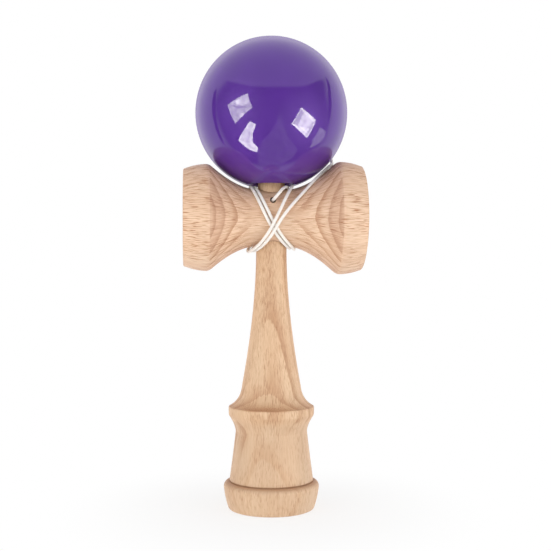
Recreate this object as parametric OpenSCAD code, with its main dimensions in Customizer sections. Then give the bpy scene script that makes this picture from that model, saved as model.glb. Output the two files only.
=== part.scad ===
// Cup and ball toy: a turned handle with a spike, a crosspiece with two cups, a ball and its string.
// Millimetres, Z up, big cup on +X, the string's hole on -Y.

/* [Ball] */
// Ball diameter
ball_d = 60; // [56:1:64]
// Diameter of the hole that takes the spike
ball_hole_d = 18.6; // [17:0.2:21]
// Height of that hole's end above the ball's centre
ball_hole_top = 13; // [11.5:0.5:15]
// Width of the bevel round the mouth of that hole
ball_mouth_bevel = 0.6; // [0.3:0.1:1]
// Diameter of the bead's chamber above the hole
chamber_d = 10; // [9:0.5:12]
// Height of the chamber's end above the ball's centre
chamber_top = 23; // [22:0.5:24]
// Diameter of the string's hole through the top
top_hole_d = 2.6; // [2:0.1:3.2]
// Radius of the rounded edge where the string leaves the ball
top_hole_round = 2.2; // [1.8:0.1:2.6]
// Diameter of the bead that stops the string
bead_d = 7.2; // [6.5:0.1:8]
// Gap between the bead and the end of its chamber
bead_gap = 0.3; // [0.2:0.05:0.4]

/* [Crosspiece] */
// Height of its axis above the base
cross_z = 114.5; // [105:0.5:125]
// Radius at the waist
waist_r = 11.2; // [10.6:0.1:11.8]
// Half length of the straight waist
waist_half = 6; // [5:0.5:7]
// How fast the flanks rise from the waist
flank_power = 1.72; // [1.5:0.02:1.9]
// Length of the small cup's end
small_end = 34.7; // [33:0.1:37]
// Shoulder of the small cup, along the axis
small_shoulder_x = 24.6; // [23.5:0.1:26]
// Radius of the small cup's shoulder
small_shoulder_r = 21; // [20:0.1:22]
// Radius of the small cup's rim
small_rim_r = 19.3; // [18.5:0.1:20]
// Radius of the small cup's hollow at its mouth
small_mouth_r = 17.7; // [16.5:0.1:18]
// Depth of the small cup's hollow
small_depth = 8; // [6:0.2:9]
// Length of the big cup's end
big_end = 35.6; // [34:0.1:38]
// Shoulder of the big cup, along the axis
big_shoulder_x = 25.9; // [25:0.1:27]
// Radius of the big cup's shoulder
big_shoulder_r = 22.3; // [21.5:0.1:23]
// Radius of the big cup's rim
big_rim_r = 20.8; // [20:0.1:21.5]
// Radius of the big cup's hollow at its mouth
big_mouth_r = 19.1; // [18:0.1:19.5]
// Depth of the big cup's hollow
big_depth = 8.8; // [6.5:0.2:9.4]
// Radius of the rounded lip of both cups
lip_round = 0.7; // [0.4:0.1:1]
// Swell of the wall between shoulder and rim
wall_swell = 0.35; // [0:0.05:0.6]
// Gap of the taper fit on the handle
fit_gap = 0.05; // [0.03:0.01:0.1]

/* [Handle] */
// Radius of the foot
foot_r = 16.8; // [16:0.1:17.5]
// Largest radius of the foot ring
ring_r = 18.8; // [18.2:0.1:19.5]
// Height of the foot ring
ring_h = 10.8; // [10:0.2:13]
// Radius of the foot ring's rounded top
ring_round = 2.1; // [1.6:0.1:2.6]
// Radius of the cup under the foot at its mouth
foot_mouth_r = 15.2; // [14:0.1:15.5]
// Depth of the cup under the foot
foot_depth = 7.6; // [6:0.2:8.4]
// Radius just above the foot ring
body_low_r = 16.5; // [16.3:0.1:17]
// Radius of the narrow part under the collar
body_top_r = 14.1; // [13.5:0.1:15]
// Height of that narrow part
body_top_z = 30.3; // [28:0.2:32]
// Radius of the collar
collar_r = 16.9; // [16.5:0.1:18]
// Height of the collar's upper edge
collar_z = 40.1; // [38:0.2:42]
// Height of the collar's rim
collar_h = 3.6; // [2.6:0.2:4]
// Radius where the flare above the collar ends
grip_r = 11.6; // [11.2:0.1:12]
// Height where that flare ends
grip_z = 48.3; // [46:0.2:50]
// Radius of the neck under the crosspiece
neck_r = 6.05; // [6:0.05:6.5]
// Radius where the spike leaves the crosspiece
spike_r = 5.5; // [5.2:0.05:5.7]
// Radius of the spike near its tip
tip_r = 2.4; // [2:0.1:2.8]
// Height of the spike's tip above the ball's centre
spike_reach = 9.4; // [7:0.2:10]

/* [String] */
// Thickness of the string
string_d = 1.1; // [0.9:0.05:1.15]
// Gap between the string and the wood under it
string_lay = 0.15; // [0.1:0.01:0.2]
// Step from one layer of the winding to the next
string_pitch = 1.68; // [1.66:0.02:1.8]
// Sideways step between neighbouring strands
strand_step = 1.84; // [1.8:0.02:1.9]
// Least clearance between the ball and the string under it
seat_gap = 0.4; // [0.3:0.05:0.5]
// Diameter of the string's bore in handle and crosspiece
bore_d = 2.4; // [2:0.1:2.8]
// Height of that bore above the crosspiece's axis
bore_h = 6.4; // [6:0.1:6.8]
// Diameter of the knot's pocket in the back of the handle
pocket_d = 4.4; // [4.2:0.1:5]
// Rings along one figure of eight of the winding
rings_per_turn = 80; // [60:1:100]

/* [Hidden] */
$fn = 96;
eps = 0.01;
beech = [0.86, 0.73, 0.57];
beech_handle = [0.87, 0.74, 0.55];
violet = [0.29, 0.13, 0.55];
cotton = [0.95, 0.94, 0.92];
bead_tone = [0.8, 0.66, 0.48];
curve_steps = 14;
ball_r = ball_d / 2;
string_r = string_d / 2;
hole_r = ball_hole_d / 2;

// Points of a curve from a to c, pulled towards b, without a itself.
function bend(a, b, c, n = curve_steps) =
    [for (i = [1 : n]) let (t = i / n) a * (1 - t) * (1 - t) + b * 2 * t * (1 - t) + c * t * t];
function arc(c, r, from, to, n = curve_steps) =
    [for (i = [0 : n]) let (w = from + (to - from) * i / n) c + r * [cos(w), sin(w)]];
function unit(v) = v / norm(v);
function rise(lo, hi, v) = let (u = min(1, max(0, (v - lo) / (hi - lo)))) u * u * (3 - 2 * u);

// Radius of the crosspiece's flanks about its own axis.
function flank(x) =
    let (side_x = x < 0 ? small_shoulder_x : big_shoulder_x,
        side_r = x < 0 ? small_shoulder_r : big_shoulder_r,
        u = max(0, abs(x) - waist_half) / (side_x - waist_half))
    waist_r + (side_r - waist_r) * pow(u, flank_power);

// The ball settles where the string that crosses the big flank leaves it room.
seat_x = big_shoulder_x - 2.4;
seat_room = ball_r + string_d + string_lay + seat_gap;
ball_z = cross_z + flank(seat_x) + sqrt(seat_room * seat_room - seat_x * seat_x);
tip_z = ball_z + spike_reach;
tenon_low_z = cross_z - waist_r;
tenon_top_z = cross_z + waist_r;
tenon_slope = (spike_r - neck_r) / (tenon_top_z - tenon_low_z);
bore_z = cross_z + bore_h;
function cup_radius(mouth, depth) = (mouth * mouth + depth * depth) / (2 * depth);

// Handle outline from the foot's middle up to the spike's tip.
ring_c = [ring_r - ring_round, ring_h - ring_round];
foot_edge = 0.6;
groove_turn = 104;
groove_rise = 0.45;
body_low = [body_low_r, ring_h + groove_rise];
body_top = [body_top_r, body_top_z];
collar_low = [collar_r - 0.3, collar_z - collar_h];
collar_edge = [collar_r - 0.15, collar_z];
grip = [grip_r, grip_z];
tip_round = 1.6;
ken_outline = concat(
    [[0, 0], [foot_r - foot_edge, 0]],
    bend([foot_r - foot_edge, 0], [foot_r, 0], [foot_r + 0.25, foot_edge], 4),
    bend([foot_r + 0.25, foot_edge], [ring_r - 0.35, (ring_c[1]) * 0.55], [ring_r, ring_c[1]], 8),
    arc(ring_c, ring_round, 4, groove_turn, 12),
    [body_low],
    bend(body_low, [(body_low_r + body_top_r) / 2 - 0.3, (body_low[1] + body_top_z) / 2 + 1.5], body_top),
    bend(body_top, [body_top_r + 0.2, body_top_z + (collar_low[1] - body_top_z) * 0.45], collar_low),
    [[collar_r - 0.05, collar_low[1] + 0.7], [collar_r, collar_z - 0.5], collar_edge],
    bend(collar_edge, [grip_r + 0.55, collar_z + (grip_z - collar_z) * 0.29], grip),
    bend(grip, [neck_r - 0.25, grip_z + (tenon_low_z - grip_z) * 0.577], [neck_r, tenon_low_z], 20),
    [[spike_r, tenon_top_z], [tip_r, tip_z - tip_round]],
    bend([tip_r, tip_z - tip_round], [tip_r * 0.92, tip_z], [0, tip_z], 10));

// Crosspiece outline from the small cup's rim to the big cup's rim, as radius and place along X.
function swell(a, b, n = 10) =
    [for (i = [1 : n]) let (u = i / n) a + (b - a) * u + [wall_swell * 4 * u * (1 - u), 0]];
corner_in = 1.5;
corner_out = 1.3;
small_flank_x = small_shoulder_x - corner_in;
big_flank_x = big_shoulder_x - corner_in;
small_rim = [small_rim_r, -small_end + lip_round];
big_rim = [big_rim_r, big_end - lip_round];
small_wall = [small_shoulder_r, -small_shoulder_x - corner_out];
big_wall = [big_shoulder_r, big_shoulder_x + corner_out];
flank_steps = 22;
sarado_outline = concat(
    [[0, -small_end], [small_rim_r - lip_round, -small_end]],
    bend([small_rim_r - lip_round, -small_end], [small_rim_r, -small_end], small_rim, 6),
    swell(small_rim, small_wall),
    bend(small_wall, [small_shoulder_r, -small_shoulder_x], [flank(-small_flank_x), -small_flank_x], 8),
    [for (i = [1 : flank_steps]) let (x = -small_flank_x + (small_flank_x - waist_half) * i / flank_steps)
        [flank(x), x]],
    [for (i = [0 : flank_steps]) let (x = waist_half + (big_flank_x - waist_half) * i / flank_steps)
        [flank(x), x]],
    bend([flank(big_flank_x), big_flank_x], [big_shoulder_r, big_shoulder_x], big_wall, 8),
    swell(big_wall, big_rim),
    bend(big_rim, [big_rim_r, big_end], [big_rim_r - lip_round, big_end], 6),
    [[0, big_end]]);

// A point over the crosspiece: place along X, turn from the front over the top, height over the wood.
function over_wood(x, turn, lift) =
    let (r = flank(x) + lift)
    [x, -r * cos(turn), cross_z + r * sin(turn)];
lay = string_r + string_lay;

// The winding: a figure of eight over the waist, round the spike above and the neck below.
// Its second turn lies outside the first on the spike and inside it on the neck.
hook_mid = 7.97;
hook_spread = 0.61;
neck_pull = 30;
pull_ease = 0.05;
turn_mid = -1;
turn_swing = 133;
turn_grow = 8;
turn_sharp = 7;
turn_drop = 25;
wind_from = 0.92;
wind_to = 2.75;
swap_from = 1.76;
swap_to = 1.88;
function wind(n) =
    let (t = 360 * n,
        hook = hook_mid - hook_spread * cos(t),
        lane = 1 - 2 * rise(swap_from, swap_to, n),
        pull = neck_pull * sin(t) * (sqrt(cos(t) * cos(t) + pull_ease) - cos(t)) / 2,
        x = -hook * sin(2 * (t + pull)) + lane * strand_step / 2 * sin(90 * sin(t)),
        swing = turn_swing + turn_grow * (1 - lane * cos(t)) / 2,
        turn = turn_mid + swing * cos(t) - turn_sharp * cos(3 * t) - turn_drop * pow(sin(t), 2),
        layer = pow(max(0, -sin(t)), 4))
    over_wood(x, turn, lay + string_pitch * layer);
wind_rings = round((wind_to - wind_from) * rings_per_turn);
wind_points = [for (i = [0 : wind_rings]) wind(wind_from + (wind_to - wind_from) * i / wind_rings)];

// The lead: out of the bore and up beside the spike to the winding.
knot_y = 1.9;
exit_y = -sqrt(waist_r * waist_r - bore_h * bore_h);
lead_bow = 2.8;
lead_points = concat(
    [[0, knot_y, bore_z],
        [0, knot_y - string_d, bore_z],
        [0, exit_y * 0.3, bore_z],
        [0, exit_y * 0.65, bore_z],
        [0, exit_y, bore_z]],
    [for (w = [30 : 30 : 150]) let (out = lead_bow * (1 - cos(w)))
        [0.64 * out, exit_y - lead_bow * sin(w), bore_z + 0.77 * out]],
    [over_wood(4, 51, 2.9),
        over_wood(4.9, 60, 2.2),
        over_wood(5.6, 68, 1.5),
        over_wood(6.2, 77, 1),
        over_wood(6.3, 87, 0.75),
        over_wood(6.1, 97, lay)]);

// The last strand: off the winding and up the big flank to the ball.
rest_x = big_shoulder_x - 1.3;
rest_point = [rest_x, 4, cross_z + flank(rest_x) + lay + 0.2];
rest_way = unit([0.26, 0.83, 0.49]);
last_points = [
    over_wood(2.5, -7, 2.3),
    over_wood(4.3, 4, 2),
    over_wood(6.2, 15, 1.6),
    over_wood(8.3, 27, 1.1),
    over_wood(10.5, 39, 0.8),
    over_wood(12.8, 50, 0.75),
    over_wood(15, 61, 0.75),
    over_wood(17.3, 71, 0.75),
    over_wood(19.5, 80, 0.75),
    over_wood(21.5, 87, 0.8),
    over_wood(23.2, 92, 0.9),
    rest_point - rest_way * string_d];

// The free stretch: behind the ball to the hole in its top, as turn, rise and clearance on the ball.
function over_ball(turn, up, gap) =
    let (r = ball_r + string_r + gap)
    [r * cos(up) * cos(turn), r * cos(up) * sin(turn), ball_z + r * sin(up)];
stretch_points = concat(
    [rest_point + rest_way * string_d],
    [over_ball(20, -31, 0.5),
        over_ball(28, -25, 0.4),
        over_ball(36, -18, 0.35),
        over_ball(43, -10, 0.35),
        over_ball(50, -1, 0.35),
        over_ball(56, 8, 0.35),
        over_ball(61, 17, 0.35),
        over_ball(66, 26, 0.35),
        over_ball(70, 35, 0.35),
        over_ball(74, 44, 0.35),
        over_ball(77, 53, 0.35),
        over_ball(80, 62, 0.35),
        over_ball(82, 71, 0.35),
        over_ball(84, 79, 0.4)],
    [[0, 3.2, ball_z + ball_r + 0.7],
        [0, 1.4, ball_z + ball_r + 0.25],
        [0, 0.3, ball_z + ball_r - 1.1],
        [0, 0, ball_z + ball_r - 2.9]]);
stretch_end_z = ball_z + ball_r - 2.9 - string_d;

// A smooth line through points, with the given number of steps from each to the next.
function smooth(p, n) =
    let (m = len(p) - 1)
    concat([for (i = [0 : m - 1])
        let (a = p[max(0, i - 1)], b = p[i], c = p[i + 1], d = p[min(m, i + 2)])
        for (k = [0 : n - 1])
            let (u = k / n)
            0.5 * (2 * b + (c - a) * u + (2 * a - 5 * b + 4 * c - d) * u * u
                + (3 * b - a - 3 * c + d) * u * u * u)],
        [p[m]]);
function headings(p) =
    [for (i = [0 : len(p) - 1]) unit(p[min(len(p) - 1, i + 1)] - p[max(0, i - 1)])];
function square_to(v, way) = unit(v - way * (v * way));

// A round tube along a line; its ring is carried from point to point without twist.
module tube(p, d, sides) {
    ways = headings(p);
    ups = [for (i = 0, up = square_to([0.3, 0.2, 0.9], ways[0]); i < len(p);
        i = i + 1, up = i < len(p) ? square_to(up, ways[i]) : up) up];
    rings = [for (i = [0 : len(p) - 1]) let (right = cross(ways[i], ups[i]))
        for (k = [0 : sides - 1]) let (w = 360 * k / sides)
            p[i] + d / 2 * (cos(w) * ups[i] + sin(w) * right)];
    last = (len(p) - 1) * sides;
    polyhedron(points = rings, faces = concat(
        [[for (k = [0 : sides - 1]) k]],
        [for (i = [0 : len(p) - 2]) for (k = [0 : sides - 1])
            let (a = i * sides + k, b = i * sides + (k + 1) % sides)
            for (f = [[a, a + sides, b + sides], [a, b + sides, b]]) f],
        [[for (k = [sides - 1 : -1 : 0]) last + k]]));
}

bound_points = concat(smooth(lead_points, 2), wind_points, smooth(last_points, 2), [rest_point]);
free_points = concat([rest_point], smooth(stretch_points, 2), [[0, 0, stretch_end_z]]);

// Least gap of the string to itself, between points at least this far apart along it.
apart = 9;
lengths = [for (i = 0, s = 0; i < len(bound_points);
    s = s + (i + 1 < len(bound_points) ? norm(bound_points[i + 1] - bound_points[i]) : 0), i = i + 1) s];
least_gap = min([for (i = [0 : len(bound_points) - 1]) for (k = [i + 1 : 1 : len(bound_points) - 1])
    if (lengths[k] - lengths[i] > apart) norm(bound_points[k] - bound_points[i]) - string_d]);
echo(winding_least_gap = least_gap, bound_length = lengths[len(lengths) - 1]);

knot_turns = 3;
knot_step = string_d * 0.92;
knot_length = knot_turns * knot_step + string_d * 0.3;
knot_r = string_d * 1.45;
bead_flat = 0.8;
bead_z = ball_z + chamber_top - bead_gap - bead_d / 2 + bead_flat;
bead_hole_d = string_d + 0.5;
bead_knot_top = bead_z - bead_d / 2 + bead_flat - bead_gap / 3;

// A stopper knot along Z from 0 upwards: turns of string round a straight core.
module stopper_knot() {
    cylinder(d = string_d, h = knot_length);
    for (i = [0 : knot_turns - 1])
        translate([0, 0, (knot_length - (knot_turns - 1) * knot_step) / 2 + i * knot_step])
            rotate_extrude()
                translate([knot_r - string_r, 0])
                    circle(d = string_d);
}

module tenon_cone(gap, reach) {
    translate([0, 0, cross_z - reach])
        cylinder(h = 2 * reach,
            r1 = (neck_r + spike_r) / 2 - tenon_slope * reach + gap,
            r2 = (neck_r + spike_r) / 2 + tenon_slope * reach + gap);
}

module ken() {
    foot_cup = cup_radius(foot_mouth_r, foot_depth);
    color(beech_handle)
        difference() {
            rotate_extrude()
                polygon(ken_outline);
            translate([0, 0, foot_depth - foot_cup])
                sphere(r = foot_cup, $fn = 128);
            translate([0, 0, bore_z])
                rotate([90, 0, 0])
                    cylinder(d = bore_d, h = 4 * neck_r, center = true, $fn = 32);
            translate([0, knot_y - 0.1, bore_z])
                rotate([-90, 0, 0])
                    cylinder(d = pocket_d, h = 2 * neck_r, $fn = 48);
        }
}

module sarado() {
    small_cup = cup_radius(small_mouth_r, small_depth);
    big_cup = cup_radius(big_mouth_r, big_depth);
    color(beech)
        difference() {
            translate([0, 0, cross_z])
                rotate([0, 90, 0])
                    rotate_extrude()
                        polygon(sarado_outline);
            translate([small_depth - small_end - small_cup, 0, cross_z])
                sphere(r = small_cup, $fn = 128);
            translate([big_end - big_depth + big_cup, 0, cross_z])
                sphere(r = big_cup, $fn = 128);
            tenon_cone(fit_gap, waist_r + 5);
            translate([0, 0, bore_z])
                rotate([90, 0, 0])
                    cylinder(d = bore_d, h = 2 * waist_r, $fn = 32);
        }
}

module tama() {
    mouth_z = sqrt(ball_r * ball_r - hole_r * hole_r);
    top_edge = top_hole_d / 2 + top_hole_round;
    top_z = sqrt(ball_r * ball_r - top_edge * top_edge);
    color(violet)
        translate([0, 0, ball_z])
            difference() {
                sphere(r = ball_r, $fn = 160);
                translate([0, 0, -ball_r])
                    cylinder(r = hole_r, h = ball_r + ball_hole_top);
                translate([0, 0, -mouth_z - 1])
                    cylinder(h = 1 + 2 * ball_mouth_bevel,
                        r1 = hole_r + ball_mouth_bevel + 0.5, r2 = hole_r - eps);
                cylinder(d = chamber_d, h = chamber_top);
                cylinder(d = top_hole_d, h = ball_r + 1, $fn = 32);
                rotate_extrude()
                    polygon(concat(
                        [[0, top_z - top_hole_round]],
                        arc([top_edge, top_z - top_hole_round], top_hole_round, 180, 90, 10),
                        [[top_edge, ball_r + 1], [0, ball_r + 1]]));
            }
}

module bead() {
    color(bead_tone)
        translate([0, 0, bead_z])
            difference() {
                intersection() {
                    sphere(d = bead_d, $fn = 64);
                    cylinder(d = bead_d, h = bead_d - 2 * bead_flat, center = true);
                }
                cylinder(d = bead_hole_d, h = bead_d, center = true, $fn = 32);
            }
}

module bead_knot() {
    color(cotton)
        translate([0, 0, bead_knot_top - knot_length])
            stopper_knot();
}

module ken_knot() {
    color(cotton)
        translate([0, knot_y, bore_z])
            rotate([-90, 0, 0])
                stopper_knot();
}

module string_winding() {
    color(cotton)
        tube(bound_points, string_d, 8);
}

module string_stretch() {
    color(cotton)
        tube(free_points, string_d, 8);
}

module string_in_tama() {
    color(cotton)
        translate([0, 0, bead_knot_top])
            cylinder(d = string_d, h = stretch_end_z - bead_knot_top, $fn = 24);
}

ken();
sarado();
tama();
bead();
bead_knot();
ken_knot();
string_winding();
string_stretch();
string_in_tama();
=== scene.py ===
"""Looks of the cup and ball toy: beech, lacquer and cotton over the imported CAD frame, in metres."""
import math

import bpy
import numpy as np
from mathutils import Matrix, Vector


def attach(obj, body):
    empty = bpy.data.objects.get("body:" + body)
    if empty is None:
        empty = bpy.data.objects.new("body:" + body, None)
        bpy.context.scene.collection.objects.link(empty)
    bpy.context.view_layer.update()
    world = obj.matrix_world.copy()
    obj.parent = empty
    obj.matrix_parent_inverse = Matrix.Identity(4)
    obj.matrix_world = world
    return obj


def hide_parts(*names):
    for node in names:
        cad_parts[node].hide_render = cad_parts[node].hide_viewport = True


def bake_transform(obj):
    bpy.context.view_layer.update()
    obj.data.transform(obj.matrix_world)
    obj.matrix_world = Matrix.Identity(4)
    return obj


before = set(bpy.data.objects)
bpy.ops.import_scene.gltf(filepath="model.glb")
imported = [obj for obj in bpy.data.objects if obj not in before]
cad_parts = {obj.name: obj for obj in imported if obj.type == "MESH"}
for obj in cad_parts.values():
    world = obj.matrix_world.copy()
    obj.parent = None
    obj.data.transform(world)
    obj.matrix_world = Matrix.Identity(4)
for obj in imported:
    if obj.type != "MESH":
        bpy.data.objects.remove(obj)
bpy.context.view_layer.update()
scene = bpy.context.scene
scene.view_settings.view_transform = "Standard"
MM = 0.001

# Camera: level, a little to the small cup's side. The image is 551 pixels square.
IMAGE = 551
FOCAL_PX = 955.0
SENSOR = 36.0
AZIMUTH = math.radians(-4.69)
CAMERA_DISTANCE = 0.3782
CAMERA_HEIGHT = 0.0917
CAMERA_SIDE = 0.00165
BACK = Vector((math.sin(AZIMUTH), -math.cos(AZIMUTH), 0))
RIGHT = Vector((math.cos(AZIMUTH), math.sin(AZIMUTH), 0))
UP = Vector((0, 0, 1))
EYE = BACK * CAMERA_DISTANCE + RIGHT * CAMERA_SIDE + UP * CAMERA_HEIGHT

# Sizes repeated from the part's source, in millimetres. A shoulder is its place along X and its radius.
BALL_Z, BALL_R, BALL_HOLE_R = 155.80, 30.0, 9.3
CROSS_Z = 114.5
WAIST_R, WAIST_HALF, FLANK_POWER = 11.2, 6.0, 1.72
SMALL_SHOULDER = (24.6, 21.0)
BIG_SHOULDER = (25.9, 22.3)
GROOVE_Z, GROOVE_R = 11.0, 17.0
COLLAR_Z = 40.1
NECK_R, SPIKE_R = 6.05, 5.5
BORE_H = 6.4
BORE_Z = CROSS_Z + BORE_H

# The string's route, repeated from the part's source, in millimetres and degrees.
STRING_D, STRING_LAY, STRING_PITCH, STRAND_STEP = 1.1, 0.15, 1.68, 1.84
LAY = STRING_D / 2 + STRING_LAY
HOOK_MID, HOOK_SPREAD = 7.97, 0.61
NECK_PULL, PULL_EASE = 30, 0.05
TURN_MID, TURN_SWING, TURN_GROW, TURN_SHARP, TURN_DROP = -1, 133, 8, 7, 25
WIND_FROM, WIND_TO = 0.92, 2.75
SWAP_FROM, SWAP_TO = 1.76, 1.88
RINGS_PER_TURN = 80
KNOT_Y = 1.9
BORE_SHARES = (0.3, 0.65)
LEAD_BOW, LEAD_SIDE, LEAD_RISE = 2.8, 0.64, 0.77
BOW_TURNS = range(30, 151, 30)
REST_IN, REST_Y, REST_LIFT = 1.3, 4, 0.2
REST_WAY = (0.26, 0.83, 0.49)
INNER_STRING = (172.8, 181.8)
ROUTE_STEPS = 6

# Points over the crosspiece: place along X, turn from the front over the top, height over the wood.
LEAD_POINTS = [(4, 51, 2.9), (4.9, 60, 2.2), (5.6, 68, 1.5), (6.2, 77, 1), (6.3, 87, 0.75), (6.1, 97, LAY)]
LAST_POINTS = [(2.5, -7, 2.3), (4.3, 4, 2), (6.2, 15, 1.6), (8.3, 27, 1.1), (10.5, 39, 0.8), (12.8, 50, 0.75),
               (15, 61, 0.75), (17.3, 71, 0.75), (19.5, 80, 0.75), (21.5, 87, 0.8), (23.2, 92, 0.9)]
# Points behind the ball: turn, rise and clearance on it.
STRETCH_POINTS = [(20, -31, 0.5), (28, -25, 0.4), (36, -18, 0.35), (43, -10, 0.35), (50, -1, 0.35),
                  (56, 8, 0.35), (61, 17, 0.35), (66, 26, 0.35), (70, 35, 0.35), (74, 44, 0.35),
                  (77, 53, 0.35), (80, 62, 0.35), (82, 71, 0.35), (84, 79, 0.4)]
# Points at the hole in the ball's top: way behind the axis and height over the top.
TOP_POINTS = [(3.2, 0.7), (1.4, 0.25), (0.3, -1.1), (0, -2.9), (0, -2.9 - STRING_D)]

# Looks of the string: plies twisted round each other, a little fuller than the part's plain tube.
LOOK_D = 1.2
PLIES = 3
TWIST_LENGTH = 3.6
PLY_DEPTH, PLY_MEAN = 0.13, 0.72
RING_STEP = 0.3
RING_SIDES = 18
FIRST_UP = (0.3, 0.2, 0.9)


def make_camera():
    data = bpy.data.cameras.new("camera")
    data.sensor_width = SENSOR
    data.lens = FOCAL_PX / IMAGE * SENSOR
    data.clip_start = 0.01
    camera = bpy.data.objects.new("camera", data)
    camera.location = EYE
    camera.rotation_euler = (math.radians(90), 0, AZIMUTH)
    scene.collection.objects.link(camera)
    scene.camera = camera


def flank(x):
    """The crosspiece's radius at a place along X."""
    side_x, side_r = SMALL_SHOULDER if x < 0 else BIG_SHOULDER
    out = max(0, abs(x) - WAIST_HALF) / (side_x - WAIST_HALF)
    return WAIST_R + (side_r - WAIST_R) * out ** FLANK_POWER


def over_wood(x, turn, lift):
    r, w = flank(x) + lift, math.radians(turn)
    return np.array((x, -r * math.cos(w), CROSS_Z + r * math.sin(w)))


def over_ball(turn, up, gap):
    r, t, u = BALL_R + STRING_D / 2 + gap, math.radians(turn), math.radians(up)
    return np.array((r * math.cos(u) * math.cos(t), r * math.cos(u) * math.sin(t), BALL_Z + r * math.sin(u)))


def wind(n):
    """A point of the winding, n figures of eight along it."""
    t = 2 * math.pi * n
    sin, cos = math.sin(t), math.cos(t)
    u = min(1, max(0, (n - SWAP_FROM) / (SWAP_TO - SWAP_FROM)))
    lane = 1 - 2 * u * u * (3 - 2 * u)
    hook = HOOK_MID - HOOK_SPREAD * cos
    pull = math.radians(NECK_PULL) * sin * (math.sqrt(cos * cos + PULL_EASE) - cos) / 2
    x = -hook * math.sin(2 * (t + pull)) + lane * STRAND_STEP / 2 * math.sin(math.pi / 2 * sin)
    swing = TURN_SWING + TURN_GROW * (1 - lane * cos) / 2
    turn = TURN_MID + swing * cos - TURN_SHARP * math.cos(3 * t) - TURN_DROP * sin * sin
    return over_wood(x, turn, LAY + STRING_PITCH * max(0, -sin) ** 4)


def smooth(points, steps):
    """A smooth line through points, with the given number of steps from each to the next."""
    p = np.array(points)
    m = len(p) - 1
    line = []
    for i in range(m):
        a, b, c, d = p[max(0, i - 1)], p[i], p[i + 1], p[min(m, i + 2)]
        for k in range(steps):
            u = k / steps
            line.append(0.5 * (2 * b + (c - a) * u + (2 * a - 5 * b + 4 * c - d) * u * u
                               + (3 * b - a - 3 * c + d) * u ** 3))
    return line + [p[m]]


def string_route():
    """The string from the knot in the handle to the hole in the ball's top, through all its points."""
    exit_y = -math.sqrt(WAIST_R ** 2 - BORE_H ** 2)
    in_bore = [KNOT_Y, KNOT_Y - STRING_D, *(exit_y * share for share in BORE_SHARES), exit_y]
    lead = [(0, y, BORE_Z) for y in in_bore]
    for w in map(math.radians, BOW_TURNS):
        out = LEAD_BOW * (1 - math.cos(w))
        lead.append((LEAD_SIDE * out, exit_y - LEAD_BOW * math.sin(w), BORE_Z + LEAD_RISE * out))
    lead += [over_wood(*p) for p in LEAD_POINTS]

    rings = round((WIND_TO - WIND_FROM) * RINGS_PER_TURN)
    eights = [wind(WIND_FROM + (WIND_TO - WIND_FROM) * i / rings) for i in range(rings + 1)]

    rest_x = BIG_SHOULDER[0] - REST_IN
    rest = np.array((rest_x, REST_Y, CROSS_Z + flank(rest_x) + LAY + REST_LIFT))
    step = np.array(REST_WAY) / np.linalg.norm(REST_WAY) * STRING_D
    last = [over_wood(*p) for p in LAST_POINTS]
    stretch = [over_ball(*p) for p in STRETCH_POINTS]
    top = [(0, y, BALL_Z + BALL_R + height) for y, height in TOP_POINTS]
    points = [*lead, *eights, *last, rest - step, rest, rest + step, *stretch, *top]
    return np.array(smooth(points, ROUTE_STEPS)) * MM


def even(line, step):
    """The same line with points an even step apart."""
    along = np.concatenate(([0], np.cumsum(np.linalg.norm(np.diff(line, axis=0), axis=1))))
    at = np.linspace(0, along[-1], round(along[-1] / step) + 1)
    return np.column_stack([np.interp(at, along, line[:, k]) for k in range(3)])


def twisted_string(name, line):
    """A closed tube along a line, grooved by its twisted plies; its ring is carried along without twist."""
    ways = np.gradient(line, axis=0)
    ways /= np.linalg.norm(ways, axis=1)[:, None]
    up = np.array(FIRST_UP)
    angles = np.arange(RING_SIDES) * 2 * math.pi / RING_SIDES
    points = []
    for i, (p, way) in enumerate(zip(line, ways)):
        up = up - way * (up @ way)
        up /= np.linalg.norm(up)
        right = np.cross(way, up)
        lay = PLIES / 2 * (angles - 2 * math.pi * i * RING_STEP / TWIST_LENGTH)
        r = LOOK_D / 2 * MM * (1 + PLY_DEPTH * (np.abs(np.cos(lay)) - PLY_MEAN))
        points += list(p + r[:, None] * (np.cos(angles)[:, None] * up + np.sin(angles)[:, None] * right))
    n, last = RING_SIDES, (len(line) - 1) * RING_SIDES
    faces = [(i * n + k, i * n + (k + 1) % n, (i + 1) * n + (k + 1) % n, (i + 1) * n + k)
             for i in range(len(line) - 1) for k in range(n)]
    faces += [tuple(range(n - 1, -1, -1)), tuple(range(last, last + n))]
    mesh = bpy.data.meshes.new(name)
    mesh.from_pydata([tuple(p) for p in points], [], faces)
    mesh.shade_smooth()
    piece = bpy.data.objects.new(name, mesh)
    scene.collection.objects.link(piece)
    return piece


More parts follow.
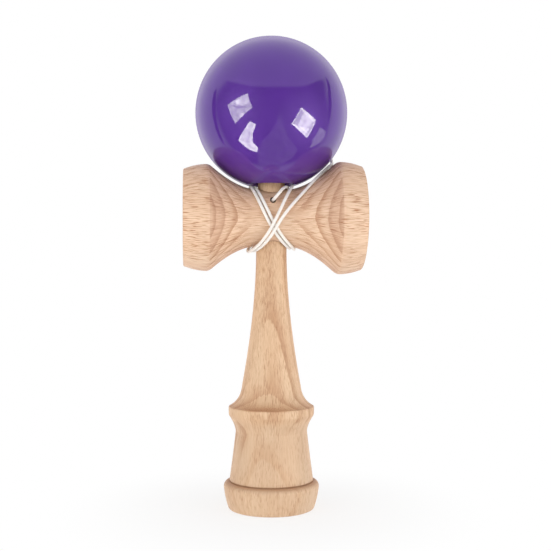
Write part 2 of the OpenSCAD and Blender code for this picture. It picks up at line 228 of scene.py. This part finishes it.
class Graph:
    """A material's nodes, with short calls for the ones used here. Lengths in it are millimetres."""

    def __init__(self, name):
        self.material = bpy.data.materials.new(name)
        self.material.use_nodes = True
        self.tree = self.material.node_tree
        self.shader = self.tree.nodes["Principled BSDF"]

    def put(self, value, socket):
        if isinstance(value, bpy.types.NodeSocket):
            self.tree.links.new(value, socket)
        else:
            socket.default_value = value

    def node(self, kind, inputs=(), out=0, **settings):
        node = self.tree.nodes.new("ShaderNode" + kind)
        for key, value in settings.items():
            setattr(node, key, value)
        for key, value in dict(inputs).items():
            self.put(value, node.inputs[key])
        return node.outputs[out]

    def math(self, operation, a, b=0.0, c=0.0):
        return self.node("Math", {0: a, 1: b, 2: c}, operation=operation)

    def times(self, a, b):
        return self.math("MULTIPLY", a, b)

    def minus(self, a, b):
        return self.math("SUBTRACT", a, b)

    def diagonal(self, a, b):
        return self.math("SQRT", self.math("ADD", self.math("POWER", a, 2.0), self.math("POWER", b, 2.0)))

    def vector(self, operation, a, b):
        return self.node("VectorMath", {0: a, 1: b}, operation=operation)

    def join(self, x, y, z):
        return self.node("CombineXYZ", {0: x, 1: y, 2: z})

    def split(self, vector):
        node = self.tree.nodes.new("ShaderNodeSeparateXYZ")
        self.put(vector, node.inputs[0])
        return node.outputs

    def place(self, turn=0.0):
        """The object's own coordinates in millimetres, turned about Z, as three sockets."""
        here = self.node("TexCoord", out="Object")
        if turn:
            angle = math.radians(turn)
            here = self.node("VectorRotate", {"Vector": here, "Angle": angle}, rotation_type="Z_AXIS")
        return self.split(self.vector("MULTIPLY", here, (1 / MM,) * 3))

    def noise(self, at, scale, detail=2.0, roughness=0.5):
        """Noise over three values, each times its scale. A single scale stands for all three."""
        scales = scale if isinstance(scale, tuple) else (scale,) * 3
        here = self.vector("MULTIPLY", self.join(*at), scales)
        return self.node("TexNoise", {"Vector": here, "Scale": 1.0, "Detail": detail, "Roughness": roughness})

    def span(self, value, low, high, to_low=0.0, to_high=1.0):
        """value from low..high to to_low..to_high, held at the ends, with a smooth start and stop."""
        return self.node("MapRange", {0: value, 1: low, 2: high, 3: to_low, 4: to_high},
                         interpolation_type="SMOOTHSTEP")

    def ramp(self, value, stops):
        node = self.tree.nodes.new("ShaderNodeValToRGB")
        elements = node.color_ramp.elements
        elements.remove(elements[1])
        elements[0].position = stops[0][0]
        elements[0].color = (*stops[0][1], 1)
        for at, colour in stops[1:]:
            elements.new(at).color = (*colour, 1)
        self.put(value, node.inputs[0])
        return node.outputs[0]

    def mix(self, share, a, b, blend="MIX"):
        node = self.tree.nodes.new("ShaderNodeMix")
        node.data_type = "RGBA"
        node.blend_type = blend
        for socket, value in zip((node.inputs[0], node.inputs[6], node.inputs[7]), (share, a, b)):
            self.put((*value, 1) if isinstance(value, tuple) else value, socket)
        return node.outputs[2]

    def stain(self, colour, share, tone):
        """The colour darkened by a share of a tone."""
        return self.mix(share, colour, tone, "MULTIPLY")

    def bump(self, height, depth_mm, strength=1.0):
        return self.node("Bump", {"Height": height, "Distance": depth_mm * MM, "Strength": strength})

    def shade(self, **values):
        for key, value in values.items():
            self.put(value, self.shader.inputs[key.replace("_", " ")])
        return self.material

    def surface(self, shader):
        """The material with another shader in place of its own."""
        self.put(shader, self.tree.nodes["Material Output"].inputs["Surface"])
        return self.material


# Beech: growth rings as layers that face the front, short dark pores along the grain, fine lines between.
RING_SPAN = 26.0
RINGS_INSIDE = 40
PITH = 80.0
SWAY, SWAY_SCALE = 2.0, (0.035, 0.07, 0.05)
FACE_R = 16.0
PATCH_SHARE, PATCH_SCALE = 0.22, (0.03, 0.09, 0.09)
# End grain is darker, partly its own tone and partly painted shade that makes the cups' hollows read deeper.
END_TONE_AND_SHADE_SHARE, END_FACING = 0.45, (0.55, 0.9)
LATE_WOOD = (0.50, 0.24, 0.08)
PORE = (0.48, 0.23, 0.08)
FINE_LINE = (0.66, 0.42, 0.27)
PATCH = (0.86, 0.64, 0.48)
END_GRAIN_AND_SHADE = (0.62, 0.44, 0.30)

# Sizes in millimetres: along and across the grain, and on end grain through and along the rings.
PORE_BUNCH, LINE_SIZE, RAGGED_SIZE = (9.0, 5.0), (22.0, 0.6), (5.0, 0.9)
END_DOT, END_LINE = (0.4, 0.4), (0.5, 5.0)
RAGGED_DEPTH = 0.5

# Stretches of noise, which lies round 0.5: most of it, and the peaks that show as pores.
NOISE_MIDDLE = (0.35, 0.65)
PORE_PEAKS, DOT_PEAKS = (0.52, 0.64), (0.58, 0.68)


def ring_depth(g, along, across, y, tilt):
    """Depth of a point towards the front, over layers that sway a little and bend round a far pith."""
    depth = g.math("MULTIPLY_ADD", along, -tilt, g.times(y, -1.0))
    sway = g.noise((along, across, depth), SWAY_SCALE)
    depth = g.math("MULTIPLY_ADD", g.minus(sway, 0.5), SWAY, depth)
    return g.minus(g.diagonal(g.math("ADD", depth, PITH), across), PITH)


def late_wood(g, ring, ring_at, ring_step, line_dark):
    """Each year's layer darkens slowly to a sharp edge, some years more than others."""
    years = g.math("DIVIDE", g.minus(ring, ring_at - RINGS_INSIDE * ring_step), ring_step)
    year = g.math("FRACT", years)
    weight = g.span(g.noise((g.math("FLOOR", years), 0.5, 0.5), (7.3, 1.0, 1.0)), *NOISE_MIDDLE, 0.55, 1.1)
    late = g.math("MULTIPLY_ADD", g.span(year, 0.5, 0.97), 0.55, g.span(year, 0.1, 0.97, 0.0, 0.45))
    return g.times(g.times(late, weight), g.span(year, 1.0, 0.965, 0.0, line_dark))


def beech(g, xyz, axes, middle, ring_at, ring_step, line_dark, bands, tilt, fleck, fleck_size, streak, tint):
    """The colour of beech with its grain along axes[0] and its middle on axes[1].

    A dark ring edge lies at ring_at and each ring_step from it. Its dark side lies towards the middle, and
    with a negative ring_step towards the front. bands are (depth from the middle, colour) along the way to
    the front. fleck and fleck_size are the pores' strength and size, streak the fine lines' strength. tint
    changes the colour by the ring."""
    along, across = xyz[axes[0]], g.minus(xyz[axes[1]], middle)
    ring = ring_depth(g, along, across, xyz[1], tilt)
    colour = g.ramp(g.math("MULTIPLY_ADD", ring, 0.5 / RING_SPAN, 0.5),
                    [(0.5 + 0.5 * at / RING_SPAN, tone) for at, tone in bands])

    # Pores follow the grain along the turned face, whatever its radius.
    outward = g.node("VectorMath", {0: g.join(across, xyz[1], 0.0)}, operation="NORMALIZE")
    face = g.split(g.vector("MULTIPLY", outward, (FACE_R,) * 3))

    def grain(length, width, detail=1.0, roughness=0.4):
        return g.noise((along, face[0], face[1]), (1 / length, 1 / width, 1 / width), detail, roughness)

    # On end grain they are dots, and the fine lines follow the rings.
    facing = g.split(g.node("TexCoord", out="Normal"))
    end = g.span(g.math("ABSOLUTE", facing[axes[0]]), *END_FACING)

    def cut(depth_step, across_step, detail):
        return g.noise((along, across, ring), (0.2, 1 / across_step, 1 / depth_step), detail)

    bunch = g.span(grain(*PORE_BUNCH), 0.3, 0.6, 0.4, 1.0)
    pores = g.times(g.span(grain(*fleck_size), *PORE_PEAKS), bunch)
    pores = g.span(end, 0.0, 1.0, pores, g.span(cut(*END_DOT, 1.0), *DOT_PEAKS))
    lines = g.span(end, 0.0, 1.0, grain(*LINE_SIZE, 4.0, 0.6), cut(*END_LINE, 3.0))
    patch = g.noise((along, across, xyz[1]), PATCH_SCALE, 3.0)

    # The rings' edges are a little ragged along the grain.
    rough_edge = g.span(end, 0.0, 1.0, RAGGED_DEPTH, 0.0)
    ragged = g.math("MULTIPLY_ADD", g.minus(grain(*RAGGED_SIZE), 0.5), rough_edge, ring)
    colour = g.stain(colour, late_wood(g, ragged, ring_at, ring_step, line_dark), LATE_WOOD)
    colour = tint(ring, colour)
    colour = g.stain(colour, g.span(lines, 0.3, 0.75, 0.0, streak), FINE_LINE)
    colour = g.stain(colour, g.span(patch, 0.3, 0.7, 0.0, PATCH_SHARE), PATCH)
    colour = g.stain(colour, g.times(pores, fleck), PORE)
    # End grain darkened, partly its own tone and partly painted shade in the cups' hollows.
    colour = g.stain(colour, g.times(end, END_TONE_AND_SHADE_SHARE), END_GRAIN_AND_SHADE)
    height = g.math("MULTIPLY_ADD", lines, 0.5, g.times(pores, -1.0))
    g.shade(Normal=g.bump(height, 0.06, 0.35), Roughness=g.span(lines, 0.2, 0.8, 0.52, 0.66),
            Specular_IOR_Level=0.3)
    return colour


# The handle's grain is turned a little about its axis. Its figure changes between these heights.
HANDLE_TURN = 13.0
FOOT_TO_BODY = (16.0, 28.0)
ARCH_END = (31.0, 27.0)
GRIP_TO_BODY = (37.0, 33.0)
LINES_SWAP = (32.0, 38.0)
ABOVE_COLLAR = (COLLAR_Z - 0.6, COLLAR_Z)
OVAL_END = (54.0, 45.0)
GRIP_PORES = (30.0, 42.0)
NECK_PORES = (66.0, 78.0)
# Heights of the painted shade on the foot ring's shoulder under the groove.
FOOT_SHOULDER = (GROOVE_Z - 2.2, GROOVE_Z - 0.3)

# Ring depths of the oval above the collar and of the arch on the body.
OVAL_EDGE, OVAL_DEPTH = (12.1, 12.4), (12.6, 16.6)
ARCH_DEPTH, ARCH_EDGE = (13.6, 15.0), (15.2, 15.0)
FIGURE_TONE = (0.88, 0.79, 0.71)
BODY_TONE = (0.925, 0.93, 0.955)
# The groove's dark line, partly a burn line and partly painted crease shade, and the painted shade on the
# shoulder under it.
BURN_AND_SHADE_TONE = (0.36, 0.19, 0.10)
GROOVE_HALF = (0.5, 0.15)
GROOVE_BURN_AND_SHADE, SHOULDER_PAINTED_SHADE = 0.6, 0.3


def handle_wood():
    g = Graph("beech_handle")
    xyz = g.place(HANDLE_TURN)
    z = xyz[2]
    light, warm, dark = (0.71, 0.507, 0.33), (0.685, 0.483, 0.31), (0.62, 0.42, 0.262)
    pale = (0.765, 0.552, 0.36)
    bands = [(-20, warm), (-14, light), (-9, dark), (-8, light), (-2, warm), (3, pale), (7.7, light),
             (OVAL_EDGE[0], light), (OVAL_EDGE[1], warm), (15.5, light), (20, warm)]
    above_collar = g.span(z, *ABOVE_COLLAR)

    # Ring edges show most on the grip's right, on the body's left, and all round just above the collar.
    side = g.times(xyz[0], g.span(z, *LINES_SWAP, -1.0, 1.0))
    line_dark = g.times(g.span(side, -5.0, 3.0, 0.12, 0.45), g.span(z, *FOOT_TO_BODY, 0.2, 1.0))
    line_dark = g.math("MAXIMUM", line_dark, g.times(g.span(z, *OVAL_END, 0.0, 0.45), above_collar))
    fleck = g.math("ADD", g.span(z, *GRIP_PORES, 0.4, 0.54), g.span(z, *NECK_PORES, 0.0, 0.25))

    def figure(ring, wood):
        """Dark late wood in the oval above the collar, and round an arch on the body."""
        oval = g.times(g.span(ring, *OVAL_EDGE), g.span(ring, *OVAL_DEPTH, 0.3, 0.95))
        arch = g.times(g.span(ring, *ARCH_DEPTH, 0.0, 0.6), g.span(ring, *ARCH_EDGE))
        share = g.span(above_collar, 0.0, 1.0, g.times(arch, g.span(z, *ARCH_END)), oval)
        return g.stain(wood, share, FIGURE_TONE)

    colour = beech(g, xyz, axes=(2, 0), middle=0.0, ring_at=7.82, ring_step=4.45, line_dark=line_dark,
                   bands=bands, tilt=0.0, fleck=fleck, fleck_size=(2.5, 0.23), streak=0.2, tint=figure)
    colour = g.stain(colour, g.span(z, *GRIP_TO_BODY), BODY_TONE)

    # A dark line lies in the groove, partly a burn line and partly painted crease shade, and a lighter
    # painted shade lies on the foot ring's shoulder under it.
    groove = g.times(g.span(g.math("ABSOLUTE", g.minus(z, GROOVE_Z)), *GROOVE_HALF),
                     g.span(g.diagonal(xyz[0], xyz[1]), GROOVE_R + 0.4, GROOVE_R))
    shoulder = g.times(g.span(z, *FOOT_SHOULDER), g.span(z, GROOVE_Z + 0.4, GROOVE_Z))
    burn_and_shade = g.math("MAXIMUM", g.times(groove, GROOVE_BURN_AND_SHADE), g.times(shoulder, SHOULDER_PAINTED_SHADE))
    return g.shade(Base_Color=g.mix(burn_and_shade, colour, BURN_AND_SHADE_TONE))


# The crosspiece's ring edges are darker outside the waist. A dark seam lies round the handle's tenon.
FLANK_LINES = (6.0, 13.0)
SEAM = (0.30, 0.16, 0.09)
SEAM_SHARE, SEAM_WIDTH = 0.7, (0.7, 0.15)


def cross_wood():
    g = Graph("beech_cross")
    xyz = g.place()
    light, warm, dark = (0.80, 0.595, 0.43), (0.76, 0.556, 0.40), (0.70, 0.486, 0.345)
    bands = [(-20, light), (-17, dark), (-12, warm), (-4, light), (5, warm), (12, light), (16.4, warm),
             (16.9, dark), (23.0, dark), (25.5, light)]
    line_dark = g.span(g.math("ABSOLUTE", xyz[0]), *FLANK_LINES, 0.12, 0.5)

    def pale_walls(ring, wood):
        """The cups' outer walls, past the shoulders, are paler than the flanks."""
        middle = (BIG_SHOULDER[0] - SMALL_SHOULDER[0]) / 2
        edge = (BIG_SHOULDER[0] + SMALL_SHOULDER[0]) / 2
        out = g.math("ABSOLUTE", g.minus(xyz[0], middle))
        return g.mix(g.span(out, edge - 0.3, edge + 0.2, 0.0, 0.8), wood, light)

    colour = beech(g, xyz, axes=(0, 2), middle=CROSS_Z, ring_at=13.9, ring_step=-2.88, line_dark=line_dark,
                   bands=bands, tilt=0.036, fleck=0.82, fleck_size=(4.0, 0.17), streak=0.28, tint=pale_walls)
    tenon = g.span(xyz[2], CROSS_Z - WAIST_R, CROSS_Z + WAIST_R, NECK_R, SPIKE_R)
    seam = g.span(g.minus(g.diagonal(xyz[0], xyz[1]), tenon), *SEAM_WIDTH)
    return g.shade(Base_Color=g.mix(g.times(seam, SEAM_SHARE), colour, SEAM))


# Inside the spike hole's radius, bare wood starts and ends at these heights from the ball's middle.
MOUTH_EDGE = (-26.5, -25.6)
TOP_EDGE = (27.0, 26.0)

# Radii at the hole's wall and in the bare wood's shading, and the coat's fade towards the rim.
HOLE_EDGE = (BALL_HOLE_R + 0.06, BALL_HOLE_R - 0.02)
BARE_RAGGED, BARE_SHADE = 1.6, (9.6, 10.4)
GLOSS_FADE, RIM_GLOSS = (0.68, 0.94), 0.3
VIOLETS = ((0.068, 0.010, 0.232), (0.077, 0.013, 0.256))
BARE_WOODS = ((0.62, 0.43, 0.27), (0.52, 0.33, 0.20))


def lacquer():
    """Violet lacquer outside, bare wood inside the holes. The coat is weaker at a slant."""
    g = Graph("violet_lacquer")
    xyz = g.place()
    radius = g.diagonal(xyz[0], xyz[1])
    height = g.minus(xyz[2], BALL_Z)
    violet = g.mix(g.span(g.noise(xyz, 0.05), *NOISE_MIDDLE), *VIOLETS)
    ragged = g.math("MULTIPLY_ADD", g.noise(xyz, (0.9, 0.9, 0.5), 3.0), BARE_RAGGED, radius)
    bare = g.mix(g.span(ragged, *BARE_SHADE), *BARE_WOODS)
    inside = g.times(g.span(radius, *HOLE_EDGE), g.span(height, *MOUTH_EDGE))
    inside = g.times(inside, g.span(height, *TOP_EDGE))
    gloss = g.span(g.node("LayerWeight", {"Blend": 0.5}, out="Facing"), *GLOSS_FADE, 1.0, RIM_GLOSS)
    ripple = g.noise(xyz, 0.35, 1.0)
    return g.shade(Base_Color=g.mix(inside, violet, bare), Roughness=0.45, Specular_IOR_Level=0.15,
                   Coat_Weight=g.span(inside, 0.0, 1.0, gloss, 0.0), Coat_Roughness=0.02, Coat_IOR=1.5,
                   Coat_Normal=g.bump(ripple, 0.03, 0.08))


COTTONS = ((0.87, 0.835, 0.79), (0.79, 0.75, 0.70))
KNOT_LAY, KNOT_PLIES = 5.0, 12.0


def cotton(name, coil=None):
    """Cotton fibres. coil is a knot's axis and its height, which gives the lay of the string on its turns."""
    g = Graph(name)
    xyz = g.place()
    fibre = g.noise(xyz, 9.0, 3.0, 0.65)
    if coil:
        axis, height = coil
        turn = g.math("ARCTAN2", g.minus(xyz[3 - axis], height), xyz[0])
        lay = g.math("SINE", g.math("MULTIPLY_ADD", xyz[axis], KNOT_LAY, g.times(turn, KNOT_PLIES)))
        fibre = g.math("MULTIPLY_ADD", lay, 0.8, fibre)
    colour = g.mix(g.span(g.noise(xyz, 0.4), 0.4, 0.75, 0.0, 0.5), *COTTONS)
    return g.shade(Base_Color=colour, Roughness=0.7, Specular_IOR_Level=0.25, Sheen_Weight=0.25,
                   Normal=g.bump(fibre, 0.05, 0.5))


BEAD_WOODS = ((0.70, 0.50, 0.31), (0.55, 0.36, 0.20))


def bead_wood():
    g = Graph("bead_wood")
    grain = g.noise(g.place(), (3.0, 3.0, 0.4), 3.0)
    return g.shade(Base_Color=g.mix(g.span(grain, 0.35, 0.7), *BEAD_WOODS), Roughness=0.55,
                   Normal=g.bump(grain, 0.05, 0.3))


def dress(node, material):
    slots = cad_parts[node].data.materials
    slots.clear()
    slots.append(material)


# Stage: a pale floor in a white tent, which is open to a dark room in front. Soft boxes stand in the opening.
AMBIENT = 0.77
MIRRORED = 1.08
MIRROR_TINT = (1.0, 0.95, 1.1, 1)
FLOOR_HALF = 2
FLOOR_GLOW = 1.12
FLOOR_PALE = (20.0, 90.0)
FLOOR_SHADOW = 0.75
LAMP_AIM = (0, 0, 0.1)
LAMPS = [("left_lamp", (-0.72, -0.56, 0.1), 0.7, 2.17), ("right_lamp", (0.72, -0.56, 0.1), 0.7, 2.06)]
CARD_COLOUR = (1, 1, 0.9, 1)
CARD_CREASE = 0.027
CARD_DIM, CARD_BRIGHT = 0.85, 1.2
ROOM_DARK, ROOM_FADE = 0.18, (0.9, 1.0)
ROOM_RINGS, ROOM_STEPS = 10, 4

# Distances of what the ball mirrors, the nearer in front of the further.
ROOM_AT, CARD_AT, FOLD_AT, GLINT_AT = 0.45, 0.36, 0.315, 0.27

# The soft boxes as the ball mirrors them: name, corners in the image in pixels, radiance, distance.
CARDS = [
    ("left_card", [(227.6, 105), (247.6, 93.2), (252.4, 107.5), (235.5, 123.6)], 8.0, CARD_AT),
    ("left_fold", [(234, 102.2), (246.5, 95), (249.5, 102), (241.5, 106)], 11.5, FOLD_AT),
    ("left_crease_card", [(230, 104.5), (237.5, 106.2), (246, 106), (246, 107.6), (237.5, 108.6)], 4.5,
     GLINT_AT),
    ("left_glint", [(235, 101.2), (239, 98.8), (240, 103), (237, 104.8)], 14.0, GLINT_AT),
    ("low_glint", [(239.2, 115), (243.6, 112), (244, 115.2), (240.4, 118)], 13.0, GLINT_AT),
    ("low_card", [(250, 121), (256, 124.4), (252.8, 134), (252.8, 142), (258.3, 147.5), (257, 152),
                  (250, 150), (238.3, 140)], 14.0, CARD_AT),
    ("low_fold", [(249, 126), (252, 128), (249.5, 137), (250, 143), (246, 143), (243.5, 139)], 11.5, FOLD_AT),
    ("right_card", [(301, 107.5), (315.8, 120), (306.8, 138), (291.6, 123.8)], 17.0, CARD_AT),
    ("right_fold", [(303.5, 113), (312.6, 121), (310.5, 129), (298, 125.8)], 13.0, FOLD_AT),
    ("right_flap", [(300.9, 108.2), (303.6, 112.6), (297.6, 125.6), (292.2, 123.9)], 8.5, GLINT_AT),
    ("low_flap", [(315.2, 120.6), (306.8, 137.2), (304.6, 135), (312, 122.5)], 9.5, GLINT_AT),
    ("side_card", [(320, 127), (326, 132), (322, 141), (310, 148), (313, 139)], 2.2, CARD_AT),
    ("lens_card", [(258.3, 164), (257.8, 153), (262, 141), (270, 133), (276, 124), (280.5, 113), (283, 124),
                   (287, 135), (297.6, 150), (292, 158), (282, 164), (270, 166)], 0.72, CARD_AT),
    ("left_crease", [(214, 92), (217, 88), (216, 104), (217, 122), (222, 138), (226, 147), (220, 139),
                     (214, 122)], 0.02, CARD_AT),
    ("right_crease", [(325, 76), (329, 82), (331, 96), (331, 112), (327, 128), (328, 112), (328, 96)], 0.02,
     CARD_AT)]

# The edge of the dark room as the ball mirrors it, in pixels of the image.
ROOM_EDGE = [(225, 79), (248, 84), (268, 85), (288, 85), (308, 84), (325, 78), (329, 94), (332, 110),
             (331, 126), (327, 139), (317, 151), (302, 161), (284, 167), (268, 168), (252, 166), (240, 160),
             (230, 150), (221, 136), (214, 118), (212, 102), (216, 90)]


def make_world():
    """White for the camera, a tinted white for mirrored rays, a plain soft light for the rest."""
    world = bpy.data.worlds.new("studio")
    world.use_nodes = True
    scene.world = world
    tree = world.node_tree
    path = tree.nodes.new("ShaderNodeLightPath")
    level = AMBIENT
    for ray, strength in (("Is Glossy Ray", MIRRORED), ("Is Camera Ray", 1.0)):
        choice = tree.nodes.new("ShaderNodeMapRange")
        tree.links.new(path.outputs[ray], choice.inputs["Value"])
        choice.inputs["To Max"].default_value = strength
        if isinstance(level, float):
            choice.inputs["To Min"].default_value = level
        else:
            tree.links.new(level, choice.inputs["To Min"])
        level = choice.outputs[0]
    tree.links.new(level, tree.nodes["Background"].inputs["Strength"])
    tint = tree.nodes.new("ShaderNodeMix")
    tint.data_type = "RGBA"
    tree.links.new(path.outputs["Is Glossy Ray"], tint.inputs[0])
    tint.inputs[6].default_value = (1, 1, 1, 1)
    tint.inputs[7].default_value = MIRROR_TINT
    tree.links.new(tint.outputs[2], tree.nodes["Background"].inputs["Color"])


def stage_piece(name, corners, faces, material):
    mesh = bpy.data.meshes.new(name)
    mesh.from_pydata([tuple(c) for c in corners], [], faces)
    mesh.materials.append(material)
    piece = bpy.data.objects.new(name, mesh)
    scene.collection.objects.link(piece)
    return piece


def make_floor():
    """Pale floor that holds the shadow near the object and goes over to white further out."""
    g = Graph("floor")
    g.shade(Base_Color=(0.93, 0.93, 0.93, 1), Roughness=0.9, Specular_IOR_Level=0.1)
    xyz = g.place()
    pale = g.span(g.diagonal(xyz[0], xyz[1]), *FLOOR_PALE, FLOOR_SHADOW, 1.0)
    spread = g.node("LightPath", out="Is Diffuse Ray")
    seen = g.math("MULTIPLY_ADD", g.node("LightPath", out="Is Camera Ray"), pale, spread)
    strength = g.math("MULTIPLY_ADD", spread, FLOOR_GLOW - 1, 1.0)
    glow = g.node("Emission", {"Color": (1, 1, 1, 1), "Strength": strength})
    material = g.surface(g.node("MixShader", {0: seen, 1: g.shader.outputs[0], 2: glow}))
    corners = [(x * FLOOR_HALF, y * FLOOR_HALF, 0) for x, y in ((-1, -1), (1, -1), (1, 1), (-1, 1))]
    floor = stage_piece("floor", corners, [(0, 1, 2, 3)], material)
    floor.visible_glossy = False


def mirrored(px, py, distance):
    """The point that the ball mirrors at a place in the image."""
    way = (RIGHT * (px - IMAGE / 2) / FOCAL_PX + UP * (IMAGE / 2 - py) / FOCAL_PX - BACK).normalized()
    middle = Vector((0, 0, BALL_Z * MM))
    to_eye = EYE - middle
    half = way.dot(to_eye)
    hit = EYE + way * (-half - math.sqrt(half * half - to_eye.length_squared + (BALL_R * MM) ** 2))
    normal = (hit - middle).normalized()
    return hit + (way - normal * 2 * way.dot(normal)) * distance


def card_light(name, strength):
    g = Graph(name)
    return g.surface(g.node("Emission", {"Color": CARD_COLOUR, "Strength": strength(g)}))


def only_mirrored(piece):
    piece.visible_camera = piece.visible_diffuse = piece.visible_transmission = piece.visible_shadow = False


def make_card(name, corners, radiance, distance):
    """A lamp's soft box that shows in the lacquer, at its place in the image."""
    def strength(g):
        crease = g.noise(g.place(), CARD_CREASE, 1.0)
        return g.span(crease, *NOISE_MIDDLE, radiance * CARD_DIM, radiance * CARD_BRIGHT)

    points = [mirrored(x, y, distance) for x, y in corners]
    card = stage_piece(name, points, [tuple(range(len(corners)))], card_light(name, strength))
    only_mirrored(card)


def make_room(edge):
    """The tent's opening as the ball mirrors it: dark, going over to white at its edge."""
    def strength(g):
        return g.span(g.node("Attribute", out="Fac", attribute_name="out"), *ROOM_FADE, ROOM_DARK, 1.0)

    middle = np.mean(edge, axis=0)
    turn = len(edge)
    points = [mirrored(*(middle + (np.array(p) - middle) * (k / ROOM_RINGS)), ROOM_AT)
              for k in range(1, ROOM_RINGS + 1) for p in edge]
    points.append(mirrored(*middle, ROOM_AT))
    faces = [(k * turn + i, k * turn + (i + 1) % turn, (k + 1) * turn + (i + 1) % turn, (k + 1) * turn + i)
             for k in range(ROOM_RINGS - 1) for i in range(turn)]
    faces += [(i, (i + 1) % turn, ROOM_RINGS * turn) for i in range(turn)]
    room = stage_piece("room", points, faces, card_light("room", strength))
    out = room.data.attributes.new("out", "FLOAT", "POINT")
    for i, value in enumerate(out.data):
        value.value = (i // turn + 1) / ROOM_RINGS if i < ROOM_RINGS * turn else 0.0
    only_mirrored(room)


def make_lamp(name, at, size, radiance):
    """A broad soft lamp that faces the object."""
    data = bpy.data.lights.new(name, "AREA")
    data.size = size
    data.energy = radiance * math.pi * size * size
    lamp = bpy.data.objects.new(name, data)
    lamp.location = at
    lamp.rotation_euler = (Vector(at) - Vector(LAMP_AIM)).to_track_quat("Z", "Y").to_euler()
    lamp.visible_glossy = lamp.visible_camera = False
    scene.collection.objects.link(lamp)


make_camera()
route = even(string_route(), RING_STEP * MM)
string = twisted_string("string", route)
low, high = INNER_STRING
inner = twisted_string("string_in_ball", even(np.array(((0, 0, low), (0, 0, high))) * MM, RING_STEP * MM))
make_world()
make_floor()
for lamp in LAMPS:
    make_lamp(*lamp)
for card in CARDS:
    make_card(*card)
make_room(smooth([*ROOM_EDGE, ROOM_EDGE[0]], ROOM_STEPS)[:-1])

cotton_look = cotton("cotton")
for piece in (string, inner):
    piece.data.materials.append(cotton_look)
dress("ken", handle_wood())
dress("sarado", cross_wood())
dress("tama", lacquer())
dress("bead", bead_wood())
dress("bead_knot", cotton("cotton_bead_knot", (2, 0.0)))
dress("ken_knot", cotton("cotton_ken_knot", (1, BORE_Z)))

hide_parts("string_winding", "string_stretch")
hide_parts("string_in_tama")
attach(inner, "string_end")
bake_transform(string)
